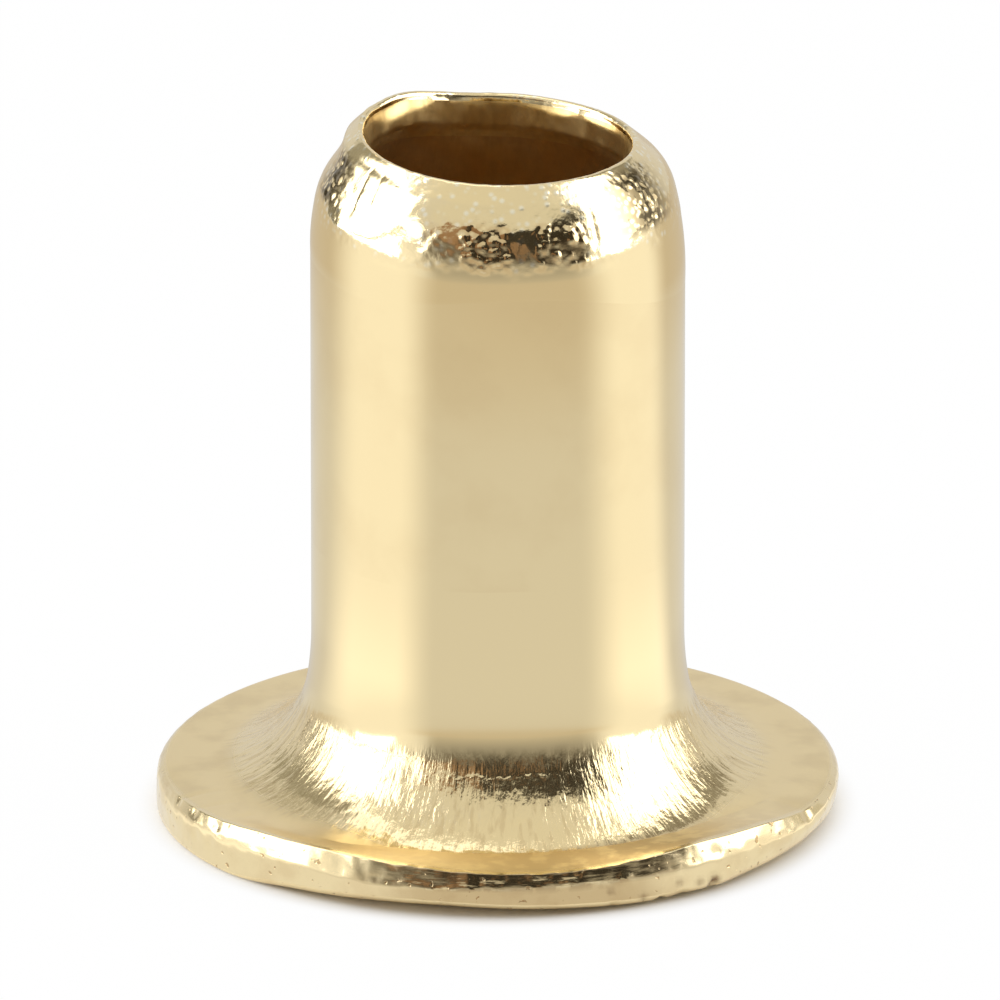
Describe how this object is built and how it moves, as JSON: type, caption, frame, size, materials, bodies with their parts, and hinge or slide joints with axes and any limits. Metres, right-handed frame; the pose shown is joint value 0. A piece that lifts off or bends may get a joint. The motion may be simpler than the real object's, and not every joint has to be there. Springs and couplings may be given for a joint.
{
  "type": "beehive frame eyelet",
  "caption": "One-piece brass eyelet: a thin drawn tube with a round flange and a curled-in open nose, which lines a wire hole in a beehive frame bar.",
  "frame": {"origin": "centre of the flange's foot, on the surface that the eyelet stands on", "axes": "+Z along the bore, from the flange up to the nose; the piece is turned, so X and Y are alike"},
  "size_m": [0.0054, 0.0054, 0.0056],
  "materials": {
    "brass": "bright drawn brass: smooth and polished on the shank, rubbed along the flare, pebbled on the nose, sheared at the flange's edge"
  },
  "bodies": {
    "root": {"eyelet": "brass"}
  },
  "joints": []
}
